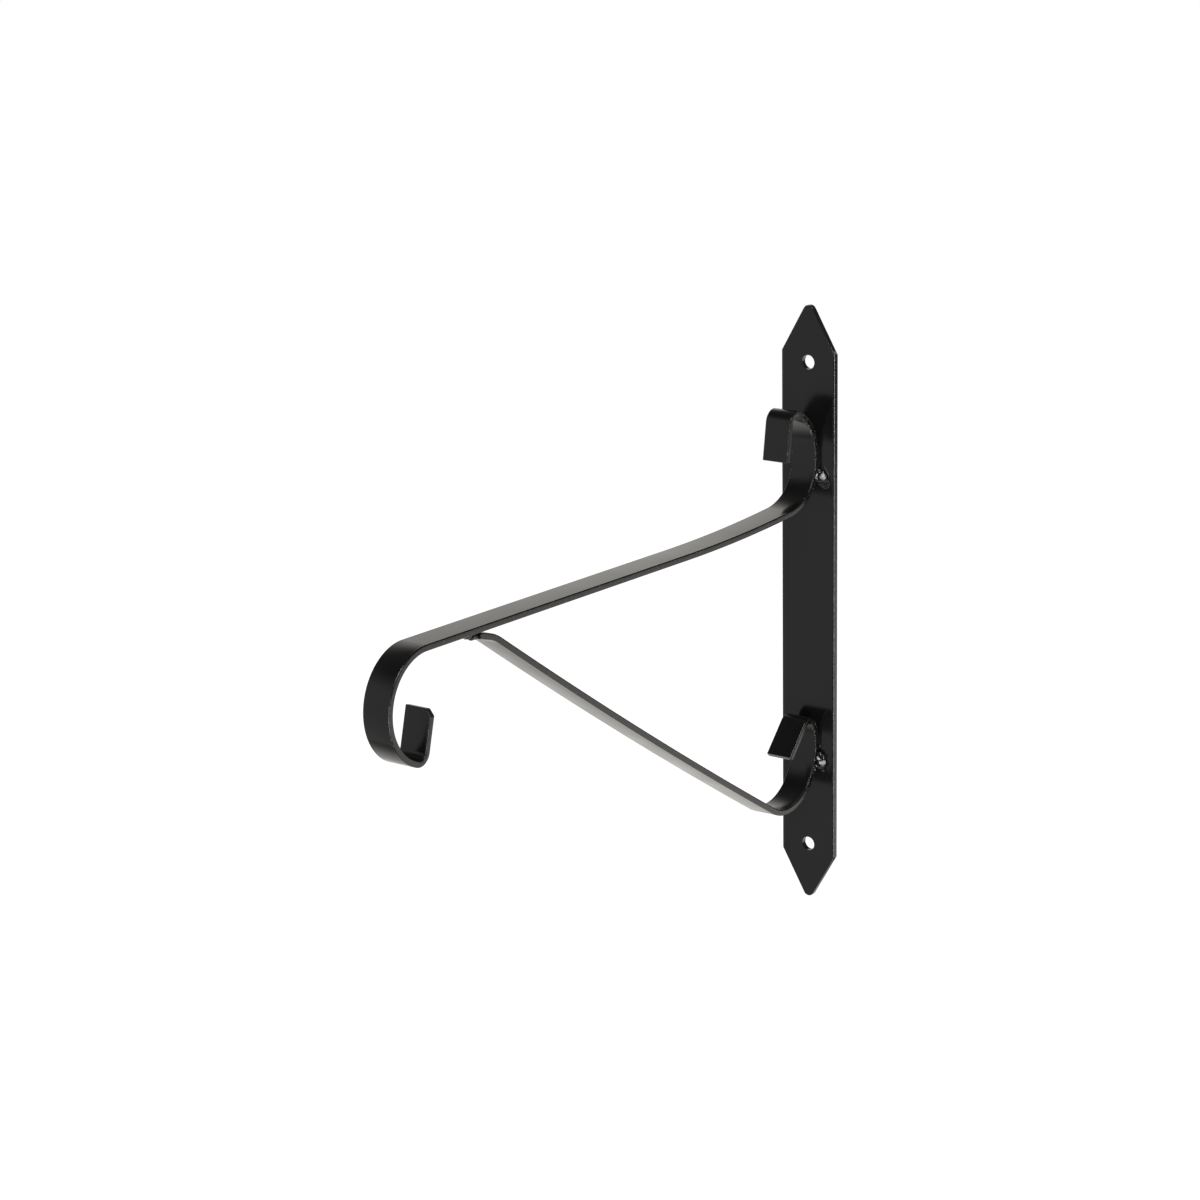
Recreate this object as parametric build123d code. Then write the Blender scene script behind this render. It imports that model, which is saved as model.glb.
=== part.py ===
from build123d import *
import math
import os

# Hanging basket bracket: a back plate, a hooked arm and a brace of flat steel, welded together and painted.
# The origin is the middle of the plate's wall face. +Z is up and +Y points into the wall, so the arm
# reaches out along -Y. X runs across the bracket. Sizes are in millimetres and angles in degrees.

# Back plate
plate_length = 300.0
plate_width = 30.0
plate_thickness = 3.0
tip_slope = 30.0  # of each cut side of a tip, from the plate's long direction
tip_radius = 3.0
plate_edge_radius = 0.4
screw_hole_diameter = 7.0
screw_hole_spacing = 244.6

# Flat bar that the arm and the brace are both bent from
bar_width = 14.0
bar_thickness = 3.0
bar_edge_bevel = 0.4
bar_end_bevel = 0.3
bar_off_centre = -0.7  # both bars sit a little to one side of the plate's middle
flat_on_plate = 2.5  # short straight in each scroll, which lies on the plate

# Arm, from the plate upwards into its scroll. All bend radii are those of the bar's middle line.
arm_height = 75.9  # of the flat on the plate, above the plate's middle
arm_back_radius = 25.3
arm_back_turn = 68.8
arm_curl_radius = 5.1
arm_curl_turn = 102.2
arm_curl_end = 18.3

# Arm, from the plate outwards to the hook
arm_foot_radius = 20.0
arm_foot_turn = 60.4
arm_flare_radius = 31.6
arm_flare_turn = 26.0
arm_bow_radius = 1020.0
arm_bow_turn = 4.9
arm_run = 191.3
hook_radius = 24.8
hook_turn = 162.6
lip_radius = 4.9
lip_turn = 94.5
lip_length = 18.3
lip_corner_cut = 3.0  # the lip's outer corner is cut off at 45 degrees

# Brace, from the plate upwards into its scroll
brace_drop = 68.8  # of the flat on the plate, below the plate's middle
brace_back_radius = 18.8
brace_back_turn = 35.2
brace_fold_radius = 4.4
brace_fold_turn = 101.2
brace_fold_end = 19.2

# Brace, from the plate outwards to its tip. Its long bow is as long as it takes to reach the arm.
brace_foot_radius = 25.9
brace_foot_turn = 121.6
brace_bow_turn = 2.9
brace_tip_bend_radius = 23.4
brace_tip_bend_turn = 17.9
brace_tip_run = 7.4
brace_seat = 0.5  # length of the tip's top that is cut away where it meets the arm

# Weld beads beside the scrolls, each a short round-ended run. Each end of a run is given by how far the
# bead's middle line stands out from the bar's side and from the plate, and lies below the flat on the plate.
bead_radius = 2.6
upper_bead = [(0.7, 2.0, 7.4), (3.1, 0.9, 12.2)]
lower_bead = [(0.3, 1.9, 5.4), (1.6, 1.2, 11.2)]
hidden_bead = [(0.3, 1.6, 5.8), (0.9, 1.0, 11.2)]

# Weld across the end of the brace, under the arm
tip_weld_length = 10.5
tip_weld_bulge = 0.7

# Side view through the middle of the bars: its first axis points out from the wall and its second one up
side_view = Plane(origin=(bar_off_centre, 0, 0), x_dir=(0, -1, 0), z_dir=(-1, 0, 0))
bar_side = bar_width / 2
half_bar = bar_thickness / 2


def unit(heading):
    """Unit vector in the side view, at an angle from straight out of the wall."""
    return Vector(math.cos(math.radians(heading)), math.sin(math.radians(heading)))


def in_space(direction):
    """A direction in the side view as a direction in space."""
    return Vector(0, -direction.X, direction.Y)


def bend_path(start, heading, steps):
    """Middle line of a bent bar in the side view, and its end. A step is (run,) or (radius, left turn)."""
    point = start
    direction = unit(heading)
    edges = []
    for step in steps:
        if len(step) == 1:
            edge = Line(point, point + direction * step[0])
        else:
            edge = JernArc(start=point, tangent=direction, radius=step[0], arc_size=step[1])
        edges.append(edge)
        point = edge @ 1
        direction = edge % 1
    return edges, point


def flat_end(height, side):
    """Upper (side 1) or lower (side -1) end of the flat that lies on the plate, on the bar's middle line."""
    return Vector(plate_thickness + half_bar, height + side * flat_on_plate / 2)


def bent_bar(height, up_steps, out_steps):
    """A flat bar that lies on the plate at a height, bent up into a scroll and out along the second steps."""
    up_edges = bend_path(flat_end(height, 1), 90, up_steps)[0]
    out_edges = bend_path(flat_end(height, -1), -90, out_steps)[0]
    flat = Line(flat_end(height, 1), flat_end(height, -1))
    path = side_view * Wire(up_edges + [flat] + out_edges)
    section_plane = Plane(origin=path @ 0, x_dir=(1, 0, 0), z_dir=path % 0)
    rectangle = Rectangle(bar_width, bar_thickness)
    section = chamfer(rectangle.vertices(), bar_edge_bevel)
    bar = sweep(section_plane * section, path=path)
    end_edges = ShapeList()
    for place in (0, 1):
        end_edges += bar.faces().sort_by_distance(path @ place)[0].edges()
    return chamfer(end_edges, bar_end_bevel)


def make_back_plate():
    """The plate, with rounded outer edges and plain holes."""
    apex = plate_length / 2 + tip_radius / math.sin(math.radians(tip_slope)) - tip_radius
    shoulder = apex - plate_width / 2 / math.tan(math.radians(tip_slope))
    side = plate_width / 2
    upper_corners = [(side, shoulder), (0, apex), (-side, shoulder)]
    lower_corners = [(-side, -shoulder), (0, -apex), (side, -shoulder)]
    face = make_face(Polyline(*upper_corners, *lower_corners, close=True))
    by_height = face.vertices().sort_by(Axis.Y)
    face = fillet([by_height[0], by_height[-1]], tip_radius)
    for height in (-screw_hole_spacing / 2, screw_hole_spacing / 2):
        face -= Pos(0, height) * Circle(screw_hole_diameter / 2)
    plate = extrude(Plane.XZ * face, plate_thickness)
    rims = ShapeList()
    for flat in plate.faces().filter_by(Axis.Y):
        rims += flat.outer_wire().edges()
    return fillet(rims, plate_edge_radius)


# Headings of the arm's long run and of the brace at the start of its bow, at its end and at its tip
arm_heading = -90 + arm_foot_turn + arm_flare_turn + arm_bow_turn
bow_start_heading = -90 + brace_foot_turn
bow_end_heading = bow_start_heading + brace_bow_turn
tip_heading = bow_end_heading - brace_tip_bend_turn

arm_root_steps = [
    (arm_foot_radius, arm_foot_turn),
    (arm_flare_radius, arm_flare_turn),
    (arm_bow_radius, arm_bow_turn),
]
arm_run_start = bend_path(flat_end(arm_height, -1), -90, arm_root_steps)[1]
arm_up = unit(arm_heading + 90)
underside = arm_run_start - arm_up * half_bar


def height_above_underside(point):
    """How far a side view point lies past the arm's underside, into the arm."""
    return (point - underside).dot(arm_up)


def brace_out_steps():
    """The brace from the plate to its tip, with the bow's length worked out so that the tip meets the arm."""
    foot_end = bend_path(flat_end(-brace_drop, -1), -90, [(brace_foot_radius, brace_foot_turn)])[1]
    tip_steps = [(brace_tip_bend_radius, -brace_tip_bend_turn), (brace_tip_run,)]
    tip_reach = bend_path(Vector(0, 0), bow_end_heading, tip_steps)[1]
    bow_direction = unit(bow_start_heading + brace_bow_turn / 2)
    corner_without_bow = foot_end + tip_reach + unit(tip_heading + 90) * half_bar
    seat_depth = brace_seat * math.sin(math.radians(tip_heading - arm_heading))
    missing = seat_depth - height_above_underside(corner_without_bow)
    bow_chord = missing / bow_direction.dot(arm_up)
    bow_radius = bow_chord / 2 / math.sin(math.radians(brace_bow_turn / 2))
    return [(brace_foot_radius, brace_foot_turn), (bow_radius, brace_bow_turn)] + tip_steps


def make_hook_arm():
    """The arm with its scroll and hook, and one corner cut off the end of the hook's lip."""
    back = (arm_back_radius, -arm_back_turn)
    curl = (arm_curl_radius, -arm_curl_turn)
    hook_steps = [(arm_run,), (hook_radius, -hook_turn), (lip_radius, -lip_turn), (lip_length,)]
    arm = bent_bar(arm_height, [back, curl, (arm_curl_end,)], arm_root_steps + hook_steps)
    lip_end = bend_path(flat_end(arm_height, -1), -90, arm_root_steps + hook_steps)[1]
    lip_heading = arm_heading - hook_turn - lip_turn
    lip_corner = Plane(
        origin=side_view.from_local_coords(lip_end) + Vector(bar_side, 0, 0),
        x_dir=(-1, 0, 0),
        z_dir=in_space(unit(lip_heading - 90)),
    )
    triangle = make_face(Polyline((0, 0), (lip_corner_cut, 0), (0, lip_corner_cut), close=True))
    return arm - extrude(lip_corner * triangle, bar_thickness, both=True)


def make_brace():
    """The brace with its scroll, its tip cut off along the arm's underside."""
    back = (brace_back_radius, -brace_back_turn)
    fold = (brace_fold_radius, -brace_fold_turn)
    brace = bent_bar(-brace_drop, [back, fold, (brace_fold_end,)], brace_out_steps())
    arm_underside = Plane(origin=side_view.from_local_coords(underside), z_dir=in_space(arm_up))
    return split(brace, bisect_by=arm_underside, keep=Keep.BOTTOM)


def make_plate_weld(height, side, run):
    """Bead in the corner between the plate and one side of a bar: 1 for its right side, -1 for its left."""
    bar_face = bar_off_centre + side * bar_side
    ends = [Vector(bar_face + side * beside, -plate_thickness - out, height - below) for beside, out, below in run]
    middle_line = Line(ends[0], ends[1])
    bead = sweep(Plane(origin=ends[0], z_dir=middle_line % 0) * Circle(bead_radius), path=middle_line)
    for end in ends:
        bead += Pos(end) * Sphere(bead_radius)
    plate_face = Plane(origin=(0, -plate_thickness, 0), z_dir=(0, -1, 0))
    bar_side_face = Plane(origin=(bar_face, 0, 0), z_dir=(side, 0, 0))
    bead = split(bead, bisect_by=plate_face, keep=Keep.TOP)
    return split(bead, bisect_by=bar_side_face, keep=Keep.TOP)


def make_tip_weld():
    """Weld that fills the corner between the end of the brace and the arm's underside."""
    tip = bend_path(flat_end(-brace_drop, -1), -90, brace_out_steps())[1]
    tip_up = unit(tip_heading + 90)
    low = tip - tip_up * (half_bar - bar_end_bevel)
    top = low - tip_up * (height_above_underside(low) / tip_up.dot(arm_up))
    far = top + unit(arm_heading) * tip_weld_length
    middle = (low + far) / 2
    bulge_direction = unit(arm_heading - 90)
    swell = middle + bulge_direction * tip_weld_bulge
    outline = [Line(top, low), ThreePointArc(low, swell, far), Line(far, top)]
    face = side_view * make_face(outline)
    return extrude(face, bar_side, both=True)


pieces = {
    "back_plate": make_back_plate(),
    "hook_arm": make_hook_arm(),
    "brace": make_brace(),
    "upper_weld_right": make_plate_weld(arm_height, 1, upper_bead),
    "upper_weld_left": make_plate_weld(arm_height, -1, hidden_bead),
    "lower_weld_right": make_plate_weld(-brace_drop, 1, lower_bead),
    "lower_weld_left": make_plate_weld(-brace_drop, -1, hidden_bead),
    "brace_tip_weld": make_tip_weld(),
}

os.makedirs("parts", exist_ok=True)
for name, piece in pieces.items():
    export_step(piece, f"parts/{name}.step")
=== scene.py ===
import math
import random
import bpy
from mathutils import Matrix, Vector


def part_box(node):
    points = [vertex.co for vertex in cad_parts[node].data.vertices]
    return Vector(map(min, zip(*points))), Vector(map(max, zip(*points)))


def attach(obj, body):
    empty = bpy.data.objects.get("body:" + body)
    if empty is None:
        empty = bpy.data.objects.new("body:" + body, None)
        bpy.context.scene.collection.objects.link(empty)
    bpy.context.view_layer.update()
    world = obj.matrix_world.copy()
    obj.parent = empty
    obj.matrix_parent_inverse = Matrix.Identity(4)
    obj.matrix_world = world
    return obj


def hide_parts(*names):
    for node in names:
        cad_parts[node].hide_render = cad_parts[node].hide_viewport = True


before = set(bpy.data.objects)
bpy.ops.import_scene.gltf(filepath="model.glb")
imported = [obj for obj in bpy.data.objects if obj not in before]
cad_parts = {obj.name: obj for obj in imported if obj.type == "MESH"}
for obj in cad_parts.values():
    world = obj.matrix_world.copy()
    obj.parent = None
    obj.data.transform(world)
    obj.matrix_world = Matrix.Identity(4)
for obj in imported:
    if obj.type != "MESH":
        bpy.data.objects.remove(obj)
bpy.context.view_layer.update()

from types import SimpleNamespace

import bmesh
import bpy
from bpy.props import FloatProperty, FloatVectorProperty, IntProperty, PointerProperty
from mathutils import Matrix, Vector, noise

bl_info = {
    "name": "Basket bracket finish",
    "version": (1, 0, 0),
    "blender": (4, 5, 0),
    "location": "3D View > Sidebar > Bracket",
    "description": "Powder coated bars, weld beads and studio for a hanging basket bracket",
    "category": "Object",
}

MM = 0.001

# Places in the shared frame, in millimetres, read from the CAD nodes. Y points into the wall and Z up.
PLATE_LOW, PLATE_HIGH = (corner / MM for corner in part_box("back_plate"))
ARM_LOW, ARM_HIGH = (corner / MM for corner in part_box("hook_arm"))
PLATE_FACE = -PLATE_LOW.y
BAR_WIDTH = ARM_HIGH.x - ARM_LOW.x
BAR_MIDDLE = (ARM_LOW.x + ARM_HIGH.x) / 2


def linear(hex_code):
    """The linear colour of an sRGB hex code."""
    shades = [int(hex_code[place:place + 2], 16) / 255 for place in (1, 3, 5)]
    return [shade / 12.92 if shade <= 0.04045 else ((shade + 0.055) / 1.055) ** 2.4 for shade in shades]


def length(name, description, size_mm):
    """A length property. Blender keeps it in metres."""
    return FloatProperty(name=name, description=description, default=size_mm * MM, unit="LENGTH", precision=5)


def angle(name, description, size):
    """An angle property. Blender keeps it in radians."""
    return FloatProperty(name=name, description=description, default=math.radians(size), subtype="ANGLE",
                         unit="ROTATION")


def paint_colour(name, description, hex_code):
    """A colour property. Blender keeps it linear."""
    return FloatVectorProperty(name=name, description=description, subtype="COLOR", size=3, min=0, max=1,
                               default=linear(hex_code))


class FlatBar(bpy.types.PropertyGroup):
    """The flat bar that the arm and the brace are bent from."""

    thickness: length("Thickness", "Thickness of the flat bar", 3.0)
    edge_radius: length("Edge radius", "Rounding along the bar's four edges", 0.65)
    end_radius: length("End radius", "Rounding around the bar's cut ends", 0.3)
    crown: length("Crown", "How far the middle of a broad face stands above its edges, from rolling", 0.24)
    flat_on_plate: length("Flat on plate", "Short straight that lies on the plate", 2.5)
    bend_step: angle("Bend step", "Largest turn between two rings of a bend", 3.0)
    ring_gap: length("Ring gap", "Largest distance between two rings of a bend", 6.0)


class HookArm(bpy.types.PropertyGroup):
    """Bends of the arm, on the bar's middle line."""

    height: length("Height", "Where the scroll touches the plate, above the plate's middle", 75.9)
    back_radius: length("Back radius", "Radius of the scroll's back", 25.3)
    back_turn: angle("Back turn", "Turn of the scroll's back", 68.8)
    curl_radius: length("Curl radius", "Radius of the scroll's curl", 5.1)
    curl_turn: angle("Curl turn", "Turn of the scroll's curl", 102.2)
    curl_end: length("Curl end", "Straight end of the scroll", 18.3)
    foot_radius: length("Foot radius", "Radius of the first bend out from the plate", 20.0)
    foot_turn: angle("Foot turn", "Turn of the first bend out from the plate", 60.4)
    flare_radius: length("Flare radius", "Radius of the second bend", 31.6)
    flare_turn: angle("Flare turn", "Turn of the second bend", 26.0)
    bow_radius: length("Bow radius", "Radius of the arm's slight bow", 1020.0)
    bow_turn: angle("Bow turn", "Turn of the arm's slight bow", 4.9)
    run: length("Run", "Straight run up to the hook", 191.28)
    hook_radius: length("Hook radius", "Radius of the hook", 24.8)
    hook_turn: angle("Hook turn", "Turn of the hook", 162.6)
    lip_radius: length("Lip radius", "Radius of the bend up into the lip", 4.9)
    lip_turn: angle("Lip turn", "Turn up into the lip", 94.5)
    lip_length: length("Lip length", "Straight lip of the hook", 18.3)
    lip_corner_cut: length("Lip corner cut", "How much of the lip's corner is cut off", 3.0)


class Brace(bpy.types.PropertyGroup):
    """Bends of the brace, on the bar's middle line."""

    drop: length("Drop", "Where the scroll touches the plate, below the plate's middle", 68.8)
    back_radius: length("Back radius", "Radius of the scroll's back", 18.8)
    back_turn: angle("Back turn", "Turn of the scroll's back", 35.2)
    fold_radius: length("Fold radius", "Radius of the scroll's fold", 4.4)
    fold_turn: angle("Fold turn", "Turn of the scroll's fold", 101.2)
    fold_end: length("Fold end", "Straight end of the scroll", 19.2)
    foot_radius: length("Foot radius", "Radius of the bend out from the plate", 25.9)
    foot_turn: angle("Foot turn", "Turn of the bend out from the plate", 121.6)
    bow_turn: angle("Bow turn", "Turn of the brace's slight bow", 2.9)
    tip_bend_radius: length("Tip bend radius", "Radius of the bend before the tip", 23.4)
    tip_bend_turn: angle("Tip bend turn", "Turn of the bend before the tip", 17.9)
    tip_run: length("Tip run", "Straight tip under the arm", 7.4)
    seat: length("Seat", "Length of the tip's top that meets the arm", 0.5)


class Welds(bpy.types.PropertyGroup):
    """Weld beads, as they were left after welding and coated over."""

    grain: length("Grain", "Size of the smallest lump of a bead", 0.14)
    ripple: length("Ripple", "Height of a bead's uneven surface", 0.07)
    ripple_size: length("Ripple size", "Width of one lump of a bead's uneven surface", 1.6)
    smoothing: IntProperty(name="Smoothing", description="How often a bead's surface is smoothed", min=0,
                           default=6)


class Finish(bpy.types.PropertyGroup):
    """Colours of the powder coat."""

    coat: paint_colour("Coat", "Colour of the powder coat", "#111111")
    # The worn grey is also painted, stronger, along a stretch of each scroll's edges as a painted highlight
    # line
    worn_and_highlight: paint_colour("Worn edge", "Colour of the coat where it is thin or rubbed, along edges", "#6b6963")


class Studio(bpy.types.PropertyGroup):
    """Camera, floor and light."""

    azimuth: angle("Azimuth", "Turn of the camera round the bracket, from straight in front", 35.885)
    elevation: angle("Elevation", "Height of the camera above the bracket", 15.461)
    roll: angle("Roll", "Tilt of the camera about its line of sight", -1.022)
    distance: length("Distance", "From the camera to the plate's middle", 1601.7)
    aside: length("Aside", "How far the camera is moved to its right", -103.6)
    above: length("Above", "How far the camera is moved up", 4.95)
    lens: FloatProperty(name="Lens", description="Focal length", default=97.98, unit="CAMERA")
    floor_drop: length("Floor drop", "From the plate's middle down to the floor", 1200.0)
    floor_radius: length("Floor radius", "Radius of the round floor", 3500.0)
    floor_behind: length("Floor behind", "How far behind the plate the floor's middle lies", 2600.0)
    backdrop: paint_colour("Backdrop", "Colour of the floor's paper", "#cccbc8")
    daylight: paint_colour("Daylight", "Colour of the light that the room gives", "#fffdf7")


GROUPS = {
    "flat_bar": FlatBar,
    "hook_arm": HookArm,
    "brace": Brace,
    "welds": Welds,
    "finish": Finish,
    "studio": Studio,
}


def sizes(name):
    """A group's values by name, its lengths in millimetres."""
    group = getattr(bpy.context.scene, name)
    values = {}
    for key in GROUPS[name].__annotations__:
        value = getattr(group, key)
        values[key] = value / MM if group.bl_rna.properties[key].unit == "LENGTH" else value
    return SimpleNamespace(**values)


def add_node(tree, kind, inputs=(), **settings):
    """Adds a node with its settings, and links or sets its inputs, in order or by name or number.

    A node that is given as an input stands for its first output.
    """
    node = tree.nodes.new(kind)
    for key, value in settings.items():
        setattr(node, key, value)
    places = inputs if isinstance(inputs, dict) else dict(enumerate(inputs))
    for place, value in places.items():
        source = value.outputs[0] if isinstance(value, bpy.types.Node) else value
        if isinstance(source, bpy.types.NodeSocket):
            tree.links.new(source, node.inputs[place])
        else:
            node.inputs[place].default_value = source
    return node


# Settings of a Map Range node, whose inputs in order are the value, from, to, and the results there (0 and 1)
SMOOTH = {"interpolation_type": "SMOOTHSTEP"}
# Settings of a Mix node for colours, where it takes the two colours, and where it gives the mixed one
COLOURS = {"data_type": "RGBA"}
FIRST_COLOUR, SECOND_COLOUR, MIXED_COLOUR = 6, 7, 2


def new_material(name):
    """An empty material and its node tree."""
    material = bpy.data.materials.new(name)
    material.use_nodes = True
    material.node_tree.nodes.clear()
    return material, material.node_tree


def rgba(colour, shade=1.0):
    """A colour made lighter or darker, for a colour socket."""
    return (*(channel * shade for channel in colour), 1.0)


def lumps_of(size_mm):
    """The Scale at which noise on coordinates in metres has lumps of a real size in millimetres."""
    return 1 / (size_mm * MM)


# Where the coat is worn on a bar's edges, in millimetres in from a face: where the wear starts, and is full
WORN_FROM_SIDE = (1.1, 0.2)
WORN_FROM_BROAD_FACE = (1.0, 0.1)
WORN_NARROW_SIDE = (0.5, 0.1)
NARROW_SIDE_WEAR = 0.3  # wear of the rest of the narrow side, as a share of that of the edges
# Along this stretch of each scroll, in millimetres from its end, the edges are worn and lumpier, and painted
# lighter as a highlight line
HIGHLIGHT_STRETCH_STARTS = (22, 32)
HIGHLIGHT_STRETCH_STOPS = (70, 85)
# The edges there are also painted lighter, a painted highlight, as well as worn more
HIGHLIGHT_STRETCH_EXTRA = 2.0  # how much more the edges are worn there
# The same for the plate's long edges, and how far and how deep the coat's surface falls off there
WORN_ON_PLATE = (0.8, 0.2)
PLATE_FALL_WIDTH = (1.1, 0.1)
PLATE_FALL_DEPTH = 0.45


def bar_edges(tree, coords):
    """How worn a bar's edge is at a point, 0 away from the edges, raised where it paints a highlight line
    along each scroll, and the height of the bar's crown.
    """
    bar = sizes("flat_bar")
    half_width, half_thickness = BAR_WIDTH / 2, bar.thickness / 2
    place = add_node(tree, "ShaderNodeAttribute", attribute_name="bar_place").outputs["Vector"]
    across, through, along = add_node(tree, "ShaderNodeSeparateXYZ", [place]).outputs
    side = add_node(tree, "ShaderNodeMath", [across], operation="ABSOLUTE")
    broad = add_node(tree, "ShaderNodeMath", [through], operation="ABSOLUTE")

    band = [(half_width - gap) * MM for gap in WORN_FROM_SIDE]
    near_side = add_node(tree, "ShaderNodeMapRange", [side, *band], **SMOOTH)
    band = [(half_thickness - gap) * MM for gap in WORN_FROM_BROAD_FACE]
    near_broad = add_node(tree, "ShaderNodeMapRange", [broad, *band], **SMOOTH)
    band = [(half_width - gap) * MM for gap in WORN_NARROW_SIDE]
    narrow = add_node(tree, "ShaderNodeMapRange", [side, *band, 0.0, NARROW_SIDE_WEAR], **SMOOTH)
    corner = add_node(tree, "ShaderNodeMath", [near_side, near_broad], operation="MULTIPLY")
    edge = add_node(tree, "ShaderNodeMath", [corner, narrow], operation="MAXIMUM")

    # Along a stretch of each scroll the edges get more wear and lumps, and so more grey: a painted highlight
    # line along the near edge
    band = [distance * MM for distance in HIGHLIGHT_STRETCH_STARTS]
    started = add_node(tree, "ShaderNodeMapRange", [along, *band], **SMOOTH)
    band = [distance * MM for distance in HIGHLIGHT_STRETCH_STOPS]
    going_on = add_node(tree, "ShaderNodeMapRange", [along, *band, 1.0, 0.0], **SMOOTH)
    highlight_stretch = add_node(tree, "ShaderNodeMath", [started, going_on], operation="MULTIPLY")
    highlight_boost = add_node(tree, "ShaderNodeMath", [highlight_stretch, HIGHLIGHT_STRETCH_EXTRA, 1.0], operation="MULTIPLY_ADD")
    edge = add_node(tree, "ShaderNodeMath", [edge, highlight_boost], operation="MULTIPLY")

    share = add_node(tree, "ShaderNodeMath", [side, half_width * MM], operation="DIVIDE")
    square = add_node(tree, "ShaderNodeMath", [share, 2.0], operation="POWER")
    crown = add_node(tree, "ShaderNodeMath", [square, -bar.crown * MM], operation="MULTIPLY")
    return edge, crown


def plate_edges(tree, coords):
    """How worn the plate's long edges are at a point, and how far the coat's surface falls off there."""
    parts = add_node(tree, "ShaderNodeSeparateXYZ", [coords]).outputs
    side = add_node(tree, "ShaderNodeMath", [parts["X"]], operation="ABSOLUTE")
    band = [(PLATE_HIGH.x - gap) * MM for gap in WORN_ON_PLATE]
    edge = add_node(tree, "ShaderNodeMapRange", [side, *band], **SMOOTH)
    band = [(PLATE_HIGH.x - gap) * MM for gap in PLATE_FALL_WIDTH]
    fall = add_node(tree, "ShaderNodeMapRange", [side, *band, 0.0, -PLATE_FALL_DEPTH * MM], **SMOOTH)
    return edge, fall


def lay_powder(tree, colour, rough, height):
    """The powder's own surface, a hard polyester resin, with its relief in metres."""
    bump = add_node(tree, "ShaderNodeBump", {"Strength": 1.0, "Distance": 1.0, "Height": height})
    coat = add_node(tree, "ShaderNodeBsdfPrincipled",
                    {"Base Color": colour, "Roughness": rough, "IOR": 1.52, "Metallic": 0.0, "Normal": bump})
    add_node(tree, "ShaderNodeOutputMaterial", {"Surface": coat})


def black_powder_coat(name, edges, roughness=0.19):
    """Satin black polyester powder on steel, sprayed and baked."""
    finish = sizes("finish")
    material, tree = new_material(name)
    coords = add_node(tree, "ShaderNodeTexCoord").outputs["Object"]
    edge, form = edges(tree, coords)
    # To the eye it is an even black with a soft shine, a little cloudy where the powder is thicker or thinner
    clouds = add_node(tree, "ShaderNodeTexNoise", {"Vector": coords, "Scale": lumps_of(22), "Detail": 3.0})
    tone = add_node(tree, "ShaderNodeMix", {0: clouds, FIRST_COLOUR: rgba(finish.coat, 0.7),
                                            SECOND_COLOUR: rgba(finish.coat, 1.3)}, **COLOURS)
    cloudy = [clouds, 0.3, 0.7, roughness - 0.03, roughness + 0.03]
    rough = add_node(tree, "ShaderNodeMapRange", cloudy, **SMOOTH)
    # Along the edges, where it is thin, it is rubbed to duller grey specks; along a stretch of each scroll
    # the grey is stronger, a painted highlight line
    specks = add_node(tree, "ShaderNodeTexNoise", {"Vector": coords, "Scale": lumps_of(1.5), "Detail": 4.0,
                                                   "Roughness": 0.7})
    rubbed = add_node(tree, "ShaderNodeMapRange", [specks, 0.58, 0.70], **SMOOTH)
    wear_and_painted_highlight = add_node(tree, "ShaderNodeMath", [rubbed, edge], operation="MULTIPLY")
    colour = add_node(tree, "ShaderNodeMix", {0: wear_and_painted_highlight, FIRST_COLOUR: tone.outputs[MIXED_COLOUR],
                                              SECOND_COLOUR: rgba(finish.worn_and_highlight)}, **COLOURS)
    rough = add_node(tree, "ShaderNodeMath", [wear_and_painted_highlight, 0.15, rough], operation="MULTIPLY_ADD")
    # Its relief is a faint orange peel, fine dust, and lumps where it crept back from the edges: for each the
    # size of a lump and its height, in millimetres, the noise's detail, and where it is
    height = form
    for size, rise, detail, where in ((1.1, 0.010, 2.0, 1.0), (0.4, 0.003, 2.0, 1.0), (1.3, 0.12, 4.0, edge)):
        relief = add_node(tree, "ShaderNodeTexNoise",
                          {"Vector": coords, "Scale": lumps_of(size), "Detail": detail})
        relief = add_node(tree, "ShaderNodeMath", [relief, where], operation="MULTIPLY")
        height = add_node(tree, "ShaderNodeMath", [relief, rise * MM, height], operation="MULTIPLY_ADD")
    lay_powder(tree, colour.outputs[MIXED_COLOUR], rough, height)
    return material


def gloss_weld_coat(name):
    """The same powder over weld metal, where it pools thick."""
    finish = sizes("finish")
    material, tree = new_material(name)
    coords = add_node(tree, "ShaderNodeTexCoord").outputs["Object"]
    # To the eye it is wet and glossy, with bright spots of light and small pits; its colour is painted darker
    # in the hollows between the lumps and lighter on their tops, as painted shade and painted light
    lumps = add_node(tree, "ShaderNodeTexNoise", {"Vector": coords, "Scale": lumps_of(1.0), "Detail": 3.0})
    pits = add_node(tree, "ShaderNodeTexNoise", {"Vector": coords, "Scale": lumps_of(0.5), "Detail": 2.0})
    # Painted shade in the lumps' hollows and painted light on their tops
    painted_light_and_shade = add_node(tree, "ShaderNodeMapRange", [lumps, 0.45, 0.75], **SMOOTH)
    colour = add_node(tree, "ShaderNodeMix", {0: painted_light_and_shade, FIRST_COLOUR: rgba(finish.coat, 0.6),
                                              SECOND_COLOUR: rgba(finish.coat, 1.8)}, **COLOURS)
    rough = add_node(tree, "ShaderNodeMapRange", [lumps, 0.3, 0.7, 0.08, 0.16], **SMOOTH)
    height = add_node(tree, "ShaderNodeMath", [lumps, 0.03 * MM], operation="MULTIPLY")
    unpitted = add_node(tree, "ShaderNodeMapRange", [pits, 0.30, 0.42], **SMOOTH)
    height = add_node(tree, "ShaderNodeMath", [unpitted, 0.010 * MM, height], operation="MULTIPLY_ADD")
    lay_powder(tree, colour.outputs[MIXED_COLOUR], rough, height)
    return material


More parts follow.
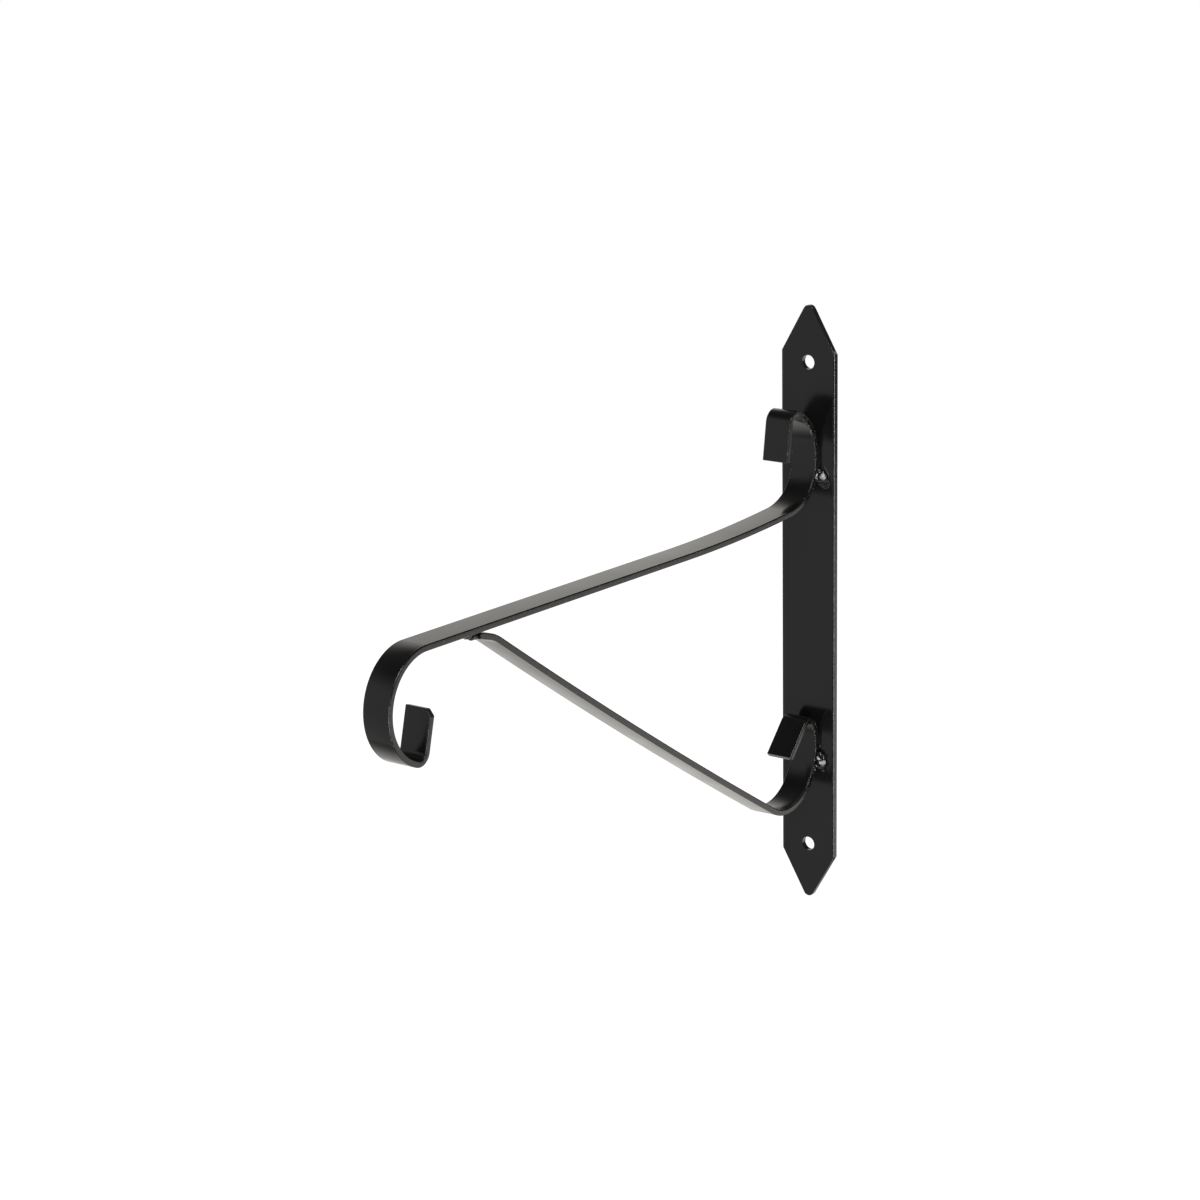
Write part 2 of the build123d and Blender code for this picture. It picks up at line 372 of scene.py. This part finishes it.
def show_piece(bm, name, nodes, material, smooth_angle=math.radians(40)):
    """Puts a bmesh that is in millimetres into the scene as a finished piece, in place of those CAD nodes."""
    bmesh.ops.scale(bm, vec=(MM, MM, MM), verts=bm.verts)
    mesh = bpy.data.meshes.new(name)
    bm.to_mesh(mesh)
    bm.free()
    mesh.shade_smooth()
    mesh.set_sharp_from_angle(angle=smooth_angle)
    mesh.materials.append(material)
    piece = bpy.data.objects.new(name, mesh)
    bpy.context.scene.collection.objects.link(piece)
    even = piece.modifiers.new("Even shading", "WEIGHTED_NORMAL")
    even.keep_sharp = True
    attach(piece, "root")
    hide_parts(*nodes)


def ahead(heading):
    """One millimetre ahead in the side view, where the first axis is out from the wall and the second up."""
    return Vector((math.cos(heading), math.sin(heading)))


def step_on(point, heading, step):
    """Where a step ends: a run (length,), or a bend (radius, left turn) of the middle line."""
    if len(step) == 1:
        return point + step[0] * ahead(heading), heading
    radius, turn = step
    side = math.copysign(radius, turn)
    centre = point + side * ahead(heading + math.pi / 2)
    return centre - side * ahead(heading + turn + math.pi / 2), heading + turn


def walk(point, heading, steps):
    """Where several steps end."""
    for step in steps:
        point, heading = step_on(point, heading, step)
    return point, heading


def in_space(point):
    """A side view point in the shared frame, on the middle of the bars."""
    return Vector((BAR_MIDDLE, -point.x, point.y))


def shift_in_space(shift):
    """A side view direction or distance in the shared frame."""
    return in_space(shift) - in_space(Vector((0, 0)))


def arm_root_steps():
    """The arm from the plate to the start of its long run."""
    arm = sizes("hook_arm")
    foot, flare = (arm.foot_radius, arm.foot_turn), (arm.flare_radius, arm.flare_turn)
    return [foot, flare, (arm.bow_radius, arm.bow_turn)]


def foot_place(height):
    """Middle line of a bar where it leaves the plate, downwards."""
    bar = sizes("flat_bar")
    return Vector((PLATE_FACE + bar.thickness / 2, height - bar.flat_on_plate / 2)), -math.pi / 2


def arm_underside():
    """A point of the arm's straight underside in the side view, and the arm's heading there."""
    point, heading = walk(*foot_place(sizes("hook_arm").height), arm_root_steps())
    return point - sizes("flat_bar").thickness / 2 * ahead(heading + math.pi / 2), heading


def brace_out_steps():
    """The brace from the plate to its tip, with the bow's radius worked out so that the tip meets the arm."""
    bar, brace = sizes("flat_bar"), sizes("brace")
    foot = (brace.foot_radius, brace.foot_turn)
    tip_steps = [(brace.tip_bend_radius, -brace.tip_bend_turn), (brace.tip_run,)]
    foot_end, bow_start = walk(*foot_place(-brace.drop), [foot])
    tip_reach, tip_heading = walk(Vector((0, 0)), bow_start + brace.bow_turn, tip_steps)
    underside, arm_heading = arm_underside()
    up = ahead(arm_heading + math.pi / 2)
    corner = foot_end + tip_reach + bar.thickness / 2 * ahead(tip_heading + math.pi / 2)
    missing = brace.seat * math.sin(tip_heading - arm_heading) - (corner - underside).dot(up)
    chord = missing / ahead(bow_start + brace.bow_turn / 2).dot(up)
    return [foot, (chord / 2 / math.sin(brace.bow_turn / 2), brace.bow_turn)] + tip_steps


class BarBender:
    """Bends a flat bar along a path of tangent runs and bends, from its scroll past the plate and out."""

    def __init__(self, height, up_steps, out_steps):
        self.bar = sizes("flat_bar")
        flat_top = foot_place(height)[0] + Vector((0, self.bar.flat_on_plate))
        self.point, end_heading = walk(flat_top, math.pi / 2, up_steps)
        self.heading = end_heading + math.pi
        self.along = 0.0
        self.bm = bmesh.new()
        self.place = self.bm.verts.layers.float_vector.new("bar_place")
        self._first_ring()
        back = [(step[0],) if len(step) == 1 else (step[0], -step[1]) for step in reversed(up_steps)]
        for step in back + [(self.bar.flat_on_plate,)] + out_steps:
            self.follow(step)

    def _first_ring(self):
        """The bar's section, a rectangle with rounded corners, stood across the path."""
        bmesh.ops.create_grid(self.bm, x_segments=1, y_segments=1, size=0.5)
        bmesh.ops.scale(self.bm, vec=(BAR_WIDTH, self.bar.thickness, 1), verts=self.bm.verts)
        bmesh.ops.bevel(self.bm, geom=self.bm.verts[:], affect="VERTICES", offset=self.bar.edge_radius,
                        segments=5, profile=0.5, material=-1)
        for vert in self.bm.verts:
            vert[self.place] = vert.co * MM
        turn = Matrix.Rotation(-math.pi / 2 - self.heading, 4, "X")
        stand = Matrix.Translation(in_space(self.point)) @ turn
        bmesh.ops.transform(self.bm, matrix=stand, verts=self.bm.verts)
        self.ring = self.bm.edges[:]
        self.first_ring = self.ring
        bmesh.ops.delete(self.bm, geom=self.bm.faces[:], context="FACES_ONLY")

    def _grow(self, distance):
        """The next ring of the bar, still where the last one is."""
        grown = bmesh.ops.extrude_edge_only(self.bm, edges=self.ring)["geom"]
        verts = [item for item in grown if isinstance(item, bmesh.types.BMVert)]
        fresh = set(verts)
        edges = [item for item in grown if isinstance(item, bmesh.types.BMEdge)]
        self.ring = [edge for edge in edges if fresh.issuperset(edge.verts)]
        self.along += distance
        for vert in verts:
            vert[self.place] = Vector((vert[self.place].x, vert[self.place].y, self.along * MM))
        return verts

    def follow(self, step):
        """Adds a run, or a bend in small turns about its centre."""
        if len(step) == 1:
            verts = self._grow(step[0])
            bmesh.ops.translate(self.bm, vec=shift_in_space(step[0] * ahead(self.heading)), verts=verts)
        else:
            radius, turn = step
            centre = in_space(self.point + math.copysign(radius, turn) * ahead(self.heading + math.pi / 2))
            arc = abs(turn) * radius
            count = math.ceil(max(abs(turn) / self.bar.bend_step, arc / self.bar.ring_gap))
            small_turn = Matrix.Rotation(-turn / count, 3, "X")
            for _ in range(count):
                bmesh.ops.rotate(self.bm, cent=centre, matrix=small_turn, verts=self._grow(arc / count))
        self.point, self.heading = step_on(self.point, self.heading, step)

    def close_end(self, ring):
        """The face across an open end."""
        return bmesh.ops.contextual_create(self.bm, geom=ring)["faces"][0]

    def cut_corner(self, end, size):
        """Cuts the near corner off the last end, at 45 degrees. Gives what is left of it, and the cut."""
        direction = shift_in_space(ahead(self.heading))
        corner = in_space(self.point) + Vector((BAR_WIDTH / 2, 0, 0)) - direction * size
        walls = list(dict.fromkeys(face for vert in end.verts for face in vert.link_faces))
        edges = list(dict.fromkeys(edge for face in walls for edge in face.edges))
        verts = list(dict.fromkeys(vert for edge in edges for vert in edge.verts))
        cut = bmesh.ops.bisect_plane(self.bm, geom=verts + edges + walls, plane_co=corner,
                                     plane_no=direction + Vector((1, 0, 0)), clear_outer=True)["geom_cut"]
        rim = [item for item in cut if isinstance(item, bmesh.types.BMEdge)]
        cut_face = bmesh.ops.contextual_create(self.bm, geom=rim)["faces"][0]
        beside = [face for edge in cut_face.edges for face in edge.link_faces if face != cut_face]
        return max(beside, key=lambda face: len(face.verts)), cut_face

    def round_rims(self, *faces):
        """Rounds the rims of cut ends."""
        edges = list(dict.fromkeys(edge for face in faces for edge in face.edges))
        bmesh.ops.bevel(self.bm, geom=edges, affect="EDGES", offset=self.bar.end_radius, segments=3,
                        profile=0.5, material=-1, loop_slide=True)

    def finish(self, name, node, coat):
        """Puts the bent bar into the scene."""
        bmesh.ops.recalc_face_normals(self.bm, faces=self.bm.faces)
        show_piece(self.bm, name, [node], coat)


class BRACKET_OT_plate(bpy.types.Operator):
    """Coats the back plate, whose shape is the CAD one."""

    bl_idname = "bracket.plate"
    bl_label = "Back plate"

    def execute(self, context):
        coat = black_powder_coat("Satin black powder coat, plate", plate_edges)
        bm = bmesh.new()
        bm.from_mesh(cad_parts["back_plate"].data)
        bmesh.ops.scale(bm, vec=(1 / MM, 1 / MM, 1 / MM), verts=bm.verts)
        bmesh.ops.remove_doubles(bm, verts=bm.verts, dist=0.001)
        bmesh.ops.dissolve_limit(bm, angle_limit=math.radians(0.5), verts=bm.verts, edges=bm.edges)
        show_piece(bm, "coated_plate", ["back_plate"], coat)
        return {"FINISHED"}


class BRACKET_OT_bars(bpy.types.Operator):
    """Bends and coats the arm, with its scroll and hook, and the brace, with its scroll and tip."""

    bl_idname = "bracket.bars"
    bl_label = "Arm and brace"

    def execute(self, context):
        coat = black_powder_coat("Satin black powder coat, bars", bar_edges)
        self.bend_arm(coat)
        self.bend_brace(coat)
        return {"FINISHED"}

    def bend_arm(self, coat):
        """The arm, with the near corner of its lip cut off."""
        arm = sizes("hook_arm")
        back, curl = (arm.back_radius, -arm.back_turn), (arm.curl_radius, -arm.curl_turn)
        hook, lip = (arm.hook_radius, -arm.hook_turn), (arm.lip_radius, -arm.lip_turn)
        out_steps = arm_root_steps() + [(arm.run,), hook, lip, (arm.lip_length,)]
        bender = BarBender(arm.height, [back, curl, (arm.curl_end,)], out_steps)
        scroll_end = bender.close_end(bender.first_ring)
        lip_end, lip_cut = bender.cut_corner(bender.close_end(bender.ring), arm.lip_corner_cut)
        bender.round_rims(scroll_end, lip_end, lip_cut)
        bender.finish("coated_hook_arm", "hook_arm", coat)

    def bend_brace(self, coat):
        """The brace, up to the arm's underside."""
        brace = sizes("brace")
        back, fold = (brace.back_radius, -brace.back_turn), (brace.fold_radius, -brace.fold_turn)
        bender = BarBender(-brace.drop, [back, fold, (brace.fold_end,)], brace_out_steps())
        bender.round_rims(bender.close_end(bender.first_ring), bender.close_end(bender.ring))
        bender.finish("coated_brace", "brace", coat)


# Lumps of each bead beside a scroll, in millimetres: right of the bars' middle, out from the plate's face, up
# from the middle of the bar's flat, the lump's radius, and the share of that radius at which its sunk face is
# pressed flat (1 for a round one)
UPPER_RIGHT_LUMPS = (
    (7.1, 1.3, -9.1, 2.6, 0.62), (9.6, 0.9, -9.2, 2.6, 0.70), (7.2, 0.6, -6.3, 1.7, 1.0),
    (9.1, 0.0, -6.9, 1.5, 1.0), (8.3, 0.2, -11.9, 1.6, 1.0), (10.7, -0.9, -12.2, 2.4, 1.0),
    (12.8, 0.2, -12.1, 0.8, 1.0), (12.3, 0.3, -10.7, 0.8, 1.0), (10.9, 0.4, -10.1, 0.8, 1.0),
    (9.3, 0.4, -10.7, 0.9, 1.0), (8.6, 0.4, -12.0, 0.9, 1.0), (9.0, 0.3, -13.5, 0.9, 1.0),
    (10.3, 0.3, -14.4, 0.9, 1.0), (11.9, 0.2, -13.8, 0.9, 1.0),
)
LOWER_RIGHT_LUMPS = (
    (9.2, 0.8, -9.4, 2.7, 0.70), (7.6, 1.0, -7.5, 2.2, 0.78), (8.2, 0.9, -4.8, 1.6, 1.0),
    (9.7, 0.5, -6.4, 1.7, 1.0), (8.1, 0.2, -11.2, 1.7, 1.0), (9.4, -0.2, -13.1, 1.4, 1.0),
)
# The upper bead on the hidden side. The lower one is the same, nearer its flat and smaller.
HIDDEN_LUMPS = (
    (-7.2, 0.5, -5.9, 1.1, 1.0), (-7.3, 0.8, -7.5, 1.4, 1.0),
    (-7.3, 1.1, -9.3, 1.6, 1.0), (-7.4, 1.3, -11.0, 1.7, 1.0),
)
LOWER_HIDDEN_RAISE = 1.0
LOWER_HIDDEN_SHARE = 0.8
# Thin ridge and drops of spatter beside a bead, in the same way
UPPER_SPATTER = (
    (10.2, 0.1, -4.3, 0.45, 0.6), (10.8, 0.1, -4.9, 0.45, 0.6), (11.3, 0.1, -5.6, 0.45, 0.6),
    (11.8, 0.1, -6.4, 0.45, 0.6), (12.2, 0.1, -7.2, 0.45, 0.6), (12.6, 0.1, -8.1, 0.45, 0.6),
    (10.5, 0.1, -1.6, 0.3, 1.0), (13.6, 0.0, -9.7, 0.35, 1.0),
)
LOWER_SPATTER = (
    (7.1, 2.4, -10.8, 0.9, 0.6), (7.7, 0.8, -11.9, 0.9, 0.6), (7.1, 3.9, -12.5, 0.7, 0.6),
    (7.1, 4.6, -11.4, 0.6, 0.7), (7.3, 1.5, -4.2, 0.7, 0.7), (7.9, 0.4, -1.2, 0.6, 0.7),
    (12.9, 0.0, -5.3, 0.3, 1.0),
)
# The way in which the sunk faces look: right, out and up
FLAT_FACING = Vector((0.53, -0.65, 0.55)).normalized()
# Lumps of one row of the bead under the arm, in the side view and in millimetres: out from the wall, below
# the arm's underside, and radius
TIP_LUMPS = (
    (270.2, 2.0, 1.5), (272.2, 1.5, 1.9), (274.4, 0.9, 1.9),
    (276.6, 0.3, 1.7), (278.6, 0.0, 1.3), (280.2, 0.0, 0.8),
)
TIP_ROWS = 11
TIP_START = 0.36  # how far left of the bars' middle the first row lies, as a share of the bar's width
TIP_SPAN = 0.66  # from the first row to the last, as a share of the bar's width
ROW_STRAY = 0.3  # how far a row strays sideways, in millimetres
LUMP_STRAY = 0.15  # how far a lump strays up or down, in millimetres
LUMP_SIZES = (0.92, 1.08)  # the smallest and the largest share of its radius that a lump has
BEAD_SMOOTH_ANGLE = math.radians(80)  # a bead is shaded smooth across edges that turn less than this


class BRACKET_OT_welds(bpy.types.Operator):
    """Lays the weld beads beside the scrolls and under the arm."""

    bl_idname = "bracket.welds"
    bl_label = "Weld beads"

    def execute(self, context):
        coat = gloss_weld_coat("Gloss black powder coat, welds")
        upper_flat, lower_flat = sizes("hook_arm").height, -sizes("brace").drop
        lower_hidden = [(right, out, up + LOWER_HIDDEN_RAISE, radius * LOWER_HIDDEN_SHARE, flat)
                        for right, out, up, radius, flat in HIDDEN_LUMPS]
        self.lay_bead("upper_weld_right", upper_flat, UPPER_RIGHT_LUMPS + UPPER_SPATTER, coat)
        self.lay_bead("upper_weld_left", upper_flat, HIDDEN_LUMPS, coat)
        self.lay_bead("lower_weld_right", lower_flat, LOWER_RIGHT_LUMPS + LOWER_SPATTER, coat)
        self.lay_bead("lower_weld_left", lower_flat, lower_hidden, coat)
        self.lay_tip_bead(coat)
        return {"FINISHED"}

    def lay_bead(self, node, flat_height, lumps, coat):
        """A bead beside the flat of a bar, cut off at the plate's face."""
        bm = bmesh.new()
        for right, out, up, radius, flat in lumps:
            centre = Vector((BAR_MIDDLE + right, -PLATE_FACE - out, flat_height + up))
            self.add_lump(bm, centre, radius, flat)
        self.fuse(bm)
        self.cut_off(bm, Vector((0, -PLATE_FACE, 0)), Vector((0, 1, 0)))
        show_piece(bm, "coated_" + node, [node], coat, BEAD_SMOOTH_ANGLE)

    def lay_tip_bead(self, coat):
        """The bead across the end of the brace. Its near end stops just short of the bars' side."""
        underside, heading = arm_underside()
        down = ahead(heading - math.pi / 2)
        wander = random.Random(5)
        bm = bmesh.new()
        for row in range(TIP_ROWS):
            x = BAR_MIDDLE + BAR_WIDTH * (TIP_SPAN * row / (TIP_ROWS - 1) - TIP_START)
            x += wander.uniform(-ROW_STRAY, ROW_STRAY)
            for out, below, radius in TIP_LUMPS:
                along = (out - underside.x) / math.cos(heading)
                stray = wander.uniform(-LUMP_STRAY, LUMP_STRAY)
                point = underside + along * ahead(heading) + (below + stray) * down
                centre = in_space(point) + Vector((x - BAR_MIDDLE, 0, 0))
                self.add_lump(bm, centre, radius * wander.uniform(*LUMP_SIZES))
        self.fuse(bm)
        self.cut_off(bm, in_space(underside), shift_in_space(-down))
        show_piece(bm, "coated_tip_weld", ["brace_tip_weld"], coat, BEAD_SMOOTH_ANGLE)

    def add_lump(self, bm, centre, radius, flat=1.0):
        """A ball, pressed flat on one side where its metal sank as it cooled."""
        lump = bmesh.ops.create_icosphere(bm, subdivisions=4, radius=radius)["verts"]
        for vert in lump:
            past = vert.co.dot(FLAT_FACING) - flat * radius
            if past > 0:
                vert.co -= FLAT_FACING * past
        bmesh.ops.translate(bm, vec=centre, verts=lump)

    def fuse(self, bm):
        """Melts the lumps into one skin with a slightly uneven surface."""
        weld = sizes("welds")
        mesh = bpy.data.meshes.new("lumps")
        bm.to_mesh(mesh)
        heap = bpy.data.objects.new("lumps", mesh)
        bpy.context.scene.collection.objects.link(heap)
        melt = heap.modifiers.new("Melt", "REMESH")
        melt.mode = "VOXEL"
        melt.voxel_size = weld.grain
        melted = heap.evaluated_get(bpy.context.evaluated_depsgraph_get())
        skin = bpy.data.meshes.new_from_object(melted)
        bpy.data.objects.remove(heap)
        bm.clear()
        bm.from_mesh(skin)
        bpy.data.meshes.remove(skin)
        for _ in range(weld.smoothing):
            bmesh.ops.smooth_vert(bm, verts=bm.verts, factor=0.5, use_axis_x=True, use_axis_y=True,
                                  use_axis_z=True)
        bm.normal_update()
        for vert in bm.verts:
            vert.co += vert.normal * weld.ripple * noise.noise(vert.co / weld.ripple_size)

    def cut_off(self, bm, point, direction):
        """Cuts off what lies past a plane, and closes the cut."""
        cut = bmesh.ops.bisect_plane(bm, geom=bm.verts[:] + bm.edges[:] + bm.faces[:], plane_co=point,
                                     plane_no=direction, clear_outer=True)["geom_cut"]
        rim = [item for item in cut if isinstance(item, bmesh.types.BMEdge)]
        bmesh.ops.holes_fill(bm, edges=rim, sides=0)
        bmesh.ops.recalc_face_normals(bm, faces=bm.faces)


# How bright the floor is where the coat mirrors it, 1 for white. Each is a smooth step along X or Y of the
# shared frame: from, to, both in metres, and how bright it is before and after
FLOOR_LEFT = (-3.0, -1.8, 0.0, 1.0)
FLOOR_NEAR = (-0.75, 0.1, 0.0, 0.75)
FLOOR_FAR = (0.7, 1.05, 0.0, 0.25)
# How bright the room is by direction, 1 for white. Each is a smooth step along X, Y or Z of the direction
ROOM_BEHIND = (-0.3, 0.4)  # along Y, from what lies in front of the bracket to what lies behind it
FRONT_SIDES = (-0.1, 0.6, 0.45, 0.12)  # along X
BACK_LEFT_END = (-0.75, -0.5, 0.5, 1.02)  # along X
BACK_RIGHT_END = (-0.42, -0.18, 1.0, 0.12)  # along X
CEILING = (0.42, 0.78, 1.0, 0.10)  # along Z
# Softboxes: width and height in metres, power in watts, and place in the shared frame in metres
SOFTBOXES = {
    "High softbox": (0.6, 0.6, 13.0, (0.72, -0.87, 1.23)),
    "Strip softbox": (0.22, 1.0, 14.0, (1.17, -1.0, -0.35)),
}
SOFTBOX_AIM = (0, -0.15, 0)


class BRACKET_OT_studio(bpy.types.Operator):
    """Sets up the floor, the room's light, the two softboxes and the camera."""

    bl_idname = "bracket.studio"
    bl_label = "Studio"

    def execute(self, context):
        self.lay_floor()
        self.light_room()
        for name, (width, height, power, place) in SOFTBOXES.items():
            self.hang_softbox(name, width, height, power, place)
        self.place_camera()
        context.scene.view_settings.view_transform = "Standard"
        return {"FINISHED"}

    def lay_floor(self):
        """A round sheet of pale paper."""
        studio = sizes("studio")
        bm = bmesh.new()
        bmesh.ops.create_circle(bm, cap_ends=True, segments=96, radius=studio.floor_radius * MM)
        middle = Vector((0, studio.floor_behind, -studio.floor_drop)) * MM
        bmesh.ops.translate(bm, vec=middle, verts=bm.verts)
        mesh = bpy.data.meshes.new("studio_floor")
        bm.to_mesh(mesh)
        bm.free()
        floor = bpy.data.objects.new("studio_floor", mesh)
        bpy.context.scene.collection.objects.link(floor)
        mesh.materials.append(self.backdrop_paper(studio))

    def backdrop_paper(self, studio):
        """Matt pale paper, white to the camera, and glowing behind the bracket where the coat mirrors it."""
        material, tree = new_material("Pale backdrop paper")
        coords = add_node(tree, "ShaderNodeTexCoord").outputs["Object"]
        parts = add_node(tree, "ShaderNodeSeparateXYZ", [coords]).outputs
        rays = add_node(tree, "ShaderNodeLightPath").outputs
        left = add_node(tree, "ShaderNodeMapRange", [parts["X"], *FLOOR_LEFT], **SMOOTH)
        near = add_node(tree, "ShaderNodeMapRange", [parts["Y"], *FLOOR_NEAR], **SMOOTH)
        far = add_node(tree, "ShaderNodeMapRange", [parts["Y"], *FLOOR_FAR], **SMOOTH)
        depth = add_node(tree, "ShaderNodeMath", [near, far], operation="ADD")
        glow = add_node(tree, "ShaderNodeMath", [left, depth], operation="MULTIPLY")
        mirrored = add_node(tree, "ShaderNodeMath", [rays["Is Glossy Ray"], glow], operation="MULTIPLY")
        strength = add_node(tree, "ShaderNodeMath", [rays["Is Camera Ray"], mirrored], operation="ADD")
        tint = add_node(tree, "ShaderNodeMix", {0: rays["Is Camera Ray"], FIRST_COLOUR: rgba(studio.daylight),
                                                SECOND_COLOUR: (1, 1, 1, 1)}, **COLOURS)
        paper = add_node(tree, "ShaderNodeBsdfDiffuse", {"Color": rgba(studio.backdrop)})
        light = add_node(tree, "ShaderNodeEmission",
                         {"Color": tint.outputs[MIXED_COLOUR], "Strength": strength})
        both = add_node(tree, "ShaderNodeAddShader", [paper, light])
        add_node(tree, "ShaderNodeOutputMaterial", {"Surface": both})
        return material

    def light_room(self):
        """White to the camera. Round the bracket it is bright behind on the left and dim in front."""
        world = bpy.data.worlds.new("Studio room")
        bpy.context.scene.world = world
        world.use_nodes = True
        tree = world.node_tree
        tree.nodes.clear()
        direction = add_node(tree, "ShaderNodeTexCoord").outputs["Generated"]
        parts = add_node(tree, "ShaderNodeSeparateXYZ", [direction]).outputs
        behind = add_node(tree, "ShaderNodeMapRange", [parts["Y"], *ROOM_BEHIND], **SMOOTH)
        front = add_node(tree, "ShaderNodeMapRange", [parts["X"], *FRONT_SIDES], **SMOOTH)
        back_left = add_node(tree, "ShaderNodeMapRange", [parts["X"], *BACK_LEFT_END], **SMOOTH)
        back_right = add_node(tree, "ShaderNodeMapRange", [parts["X"], *BACK_RIGHT_END], **SMOOTH)
        back = add_node(tree, "ShaderNodeMath", [back_left, back_right], operation="MULTIPLY")
        walls = add_node(tree, "ShaderNodeMix", {"Factor": behind, "A": front, "B": back}, data_type="FLOAT")
        ceiling = add_node(tree, "ShaderNodeMapRange", [parts["Z"], *CEILING], **SMOOTH)
        room = add_node(tree, "ShaderNodeMath", [walls, ceiling], operation="MULTIPLY")
        tint = add_node(tree, "ShaderNodeMix", {0: behind, FIRST_COLOUR: (1, 1, 1, 1),
                                                SECOND_COLOUR: rgba(sizes("studio").daylight)}, **COLOURS)
        rays = add_node(tree, "ShaderNodeLightPath").outputs
        white = add_node(tree, "ShaderNodeBackground", {"Color": (1, 1, 1, 1), "Strength": 1.0})
        light = add_node(tree, "ShaderNodeBackground",
                         {"Color": tint.outputs[MIXED_COLOUR], "Strength": room})
        seen = add_node(tree, "ShaderNodeMixShader", [rays["Is Camera Ray"], light, white])
        add_node(tree, "ShaderNodeOutputWorld", {"Surface": seen})

    def hang_softbox(self, name, width, height, power, place):
        """A softbox that faces the bracket."""
        light = bpy.data.lights.new(name, "AREA")
        light.shape = "RECTANGLE"
        light.size = width
        light.size_y = height
        light.energy = power
        lamp = bpy.data.objects.new(name, light)
        bpy.context.scene.collection.objects.link(lamp)
        lamp.visible_camera = False
        lamp.location = place
        aim = Vector(SOFTBOX_AIM) - lamp.location
        lamp.rotation_euler = aim.to_track_quat("-Z", "Y").to_euler()

    def place_camera(self):
        """The camera of the photo: turned round the bracket and raised, then moved aside and rolled."""
        studio = sizes("studio")
        azimuth, elevation = studio.azimuth, studio.elevation
        back = Vector((math.sin(azimuth) * math.cos(elevation), -math.cos(azimuth) * math.cos(elevation),
                       math.sin(elevation)))
        level = Vector((math.cos(azimuth), math.sin(azimuth), 0))
        up = back.cross(level)
        eye = back * studio.distance + level * studio.aside + up * studio.above
        right = level * math.cos(studio.roll) + up * math.sin(studio.roll)
        axes = Matrix((right, back.cross(right), back)).transposed()
        camera = bpy.data.cameras.new("Photo camera")
        camera.sensor_width = 36.0
        camera.lens = studio.lens
        camera.clip_start = 0.05
        camera.clip_end = 50.0
        stand = bpy.data.objects.new("Photo camera", camera)
        bpy.context.scene.collection.objects.link(stand)
        stand.matrix_world = Matrix.Translation(eye * MM) @ axes.to_4x4()
        bpy.context.scene.camera = stand


OPERATORS = (BRACKET_OT_plate, BRACKET_OT_bars, BRACKET_OT_welds, BRACKET_OT_studio)


class BRACKET_PT_panel(bpy.types.Panel):
    """Lists the steps and the sizes."""

    bl_idname = "BRACKET_PT_panel"
    bl_label = "Bracket"
    bl_space_type = "VIEW_3D"
    bl_region_type = "UI"
    bl_category = "Bracket"

    def draw(self, context):
        for operator in OPERATORS:
            self.layout.operator(operator.bl_idname)
        for name, group in GROUPS.items():
            box = self.layout.box()
            box.label(text=name.replace("_", " ").capitalize())
            for key in group.__annotations__:
                box.prop(getattr(context.scene, name), key)


CLASSES = (*GROUPS.values(), *OPERATORS, BRACKET_PT_panel)


def register():
    for item in CLASSES:
        bpy.utils.register_class(item)
    for name, group in GROUPS.items():
        setattr(bpy.types.Scene, name, PointerProperty(type=group))


def unregister():
    for name in GROUPS:
        delattr(bpy.types.Scene, name)
    for item in reversed(CLASSES):
        bpy.utils.unregister_class(item)


def main():
    """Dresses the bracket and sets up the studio."""
    register()
    bpy.ops.bracket.plate()
    bpy.ops.bracket.bars()
    bpy.ops.bracket.welds()
    bpy.ops.bracket.studio()


if __name__ == "__main__":
    main()
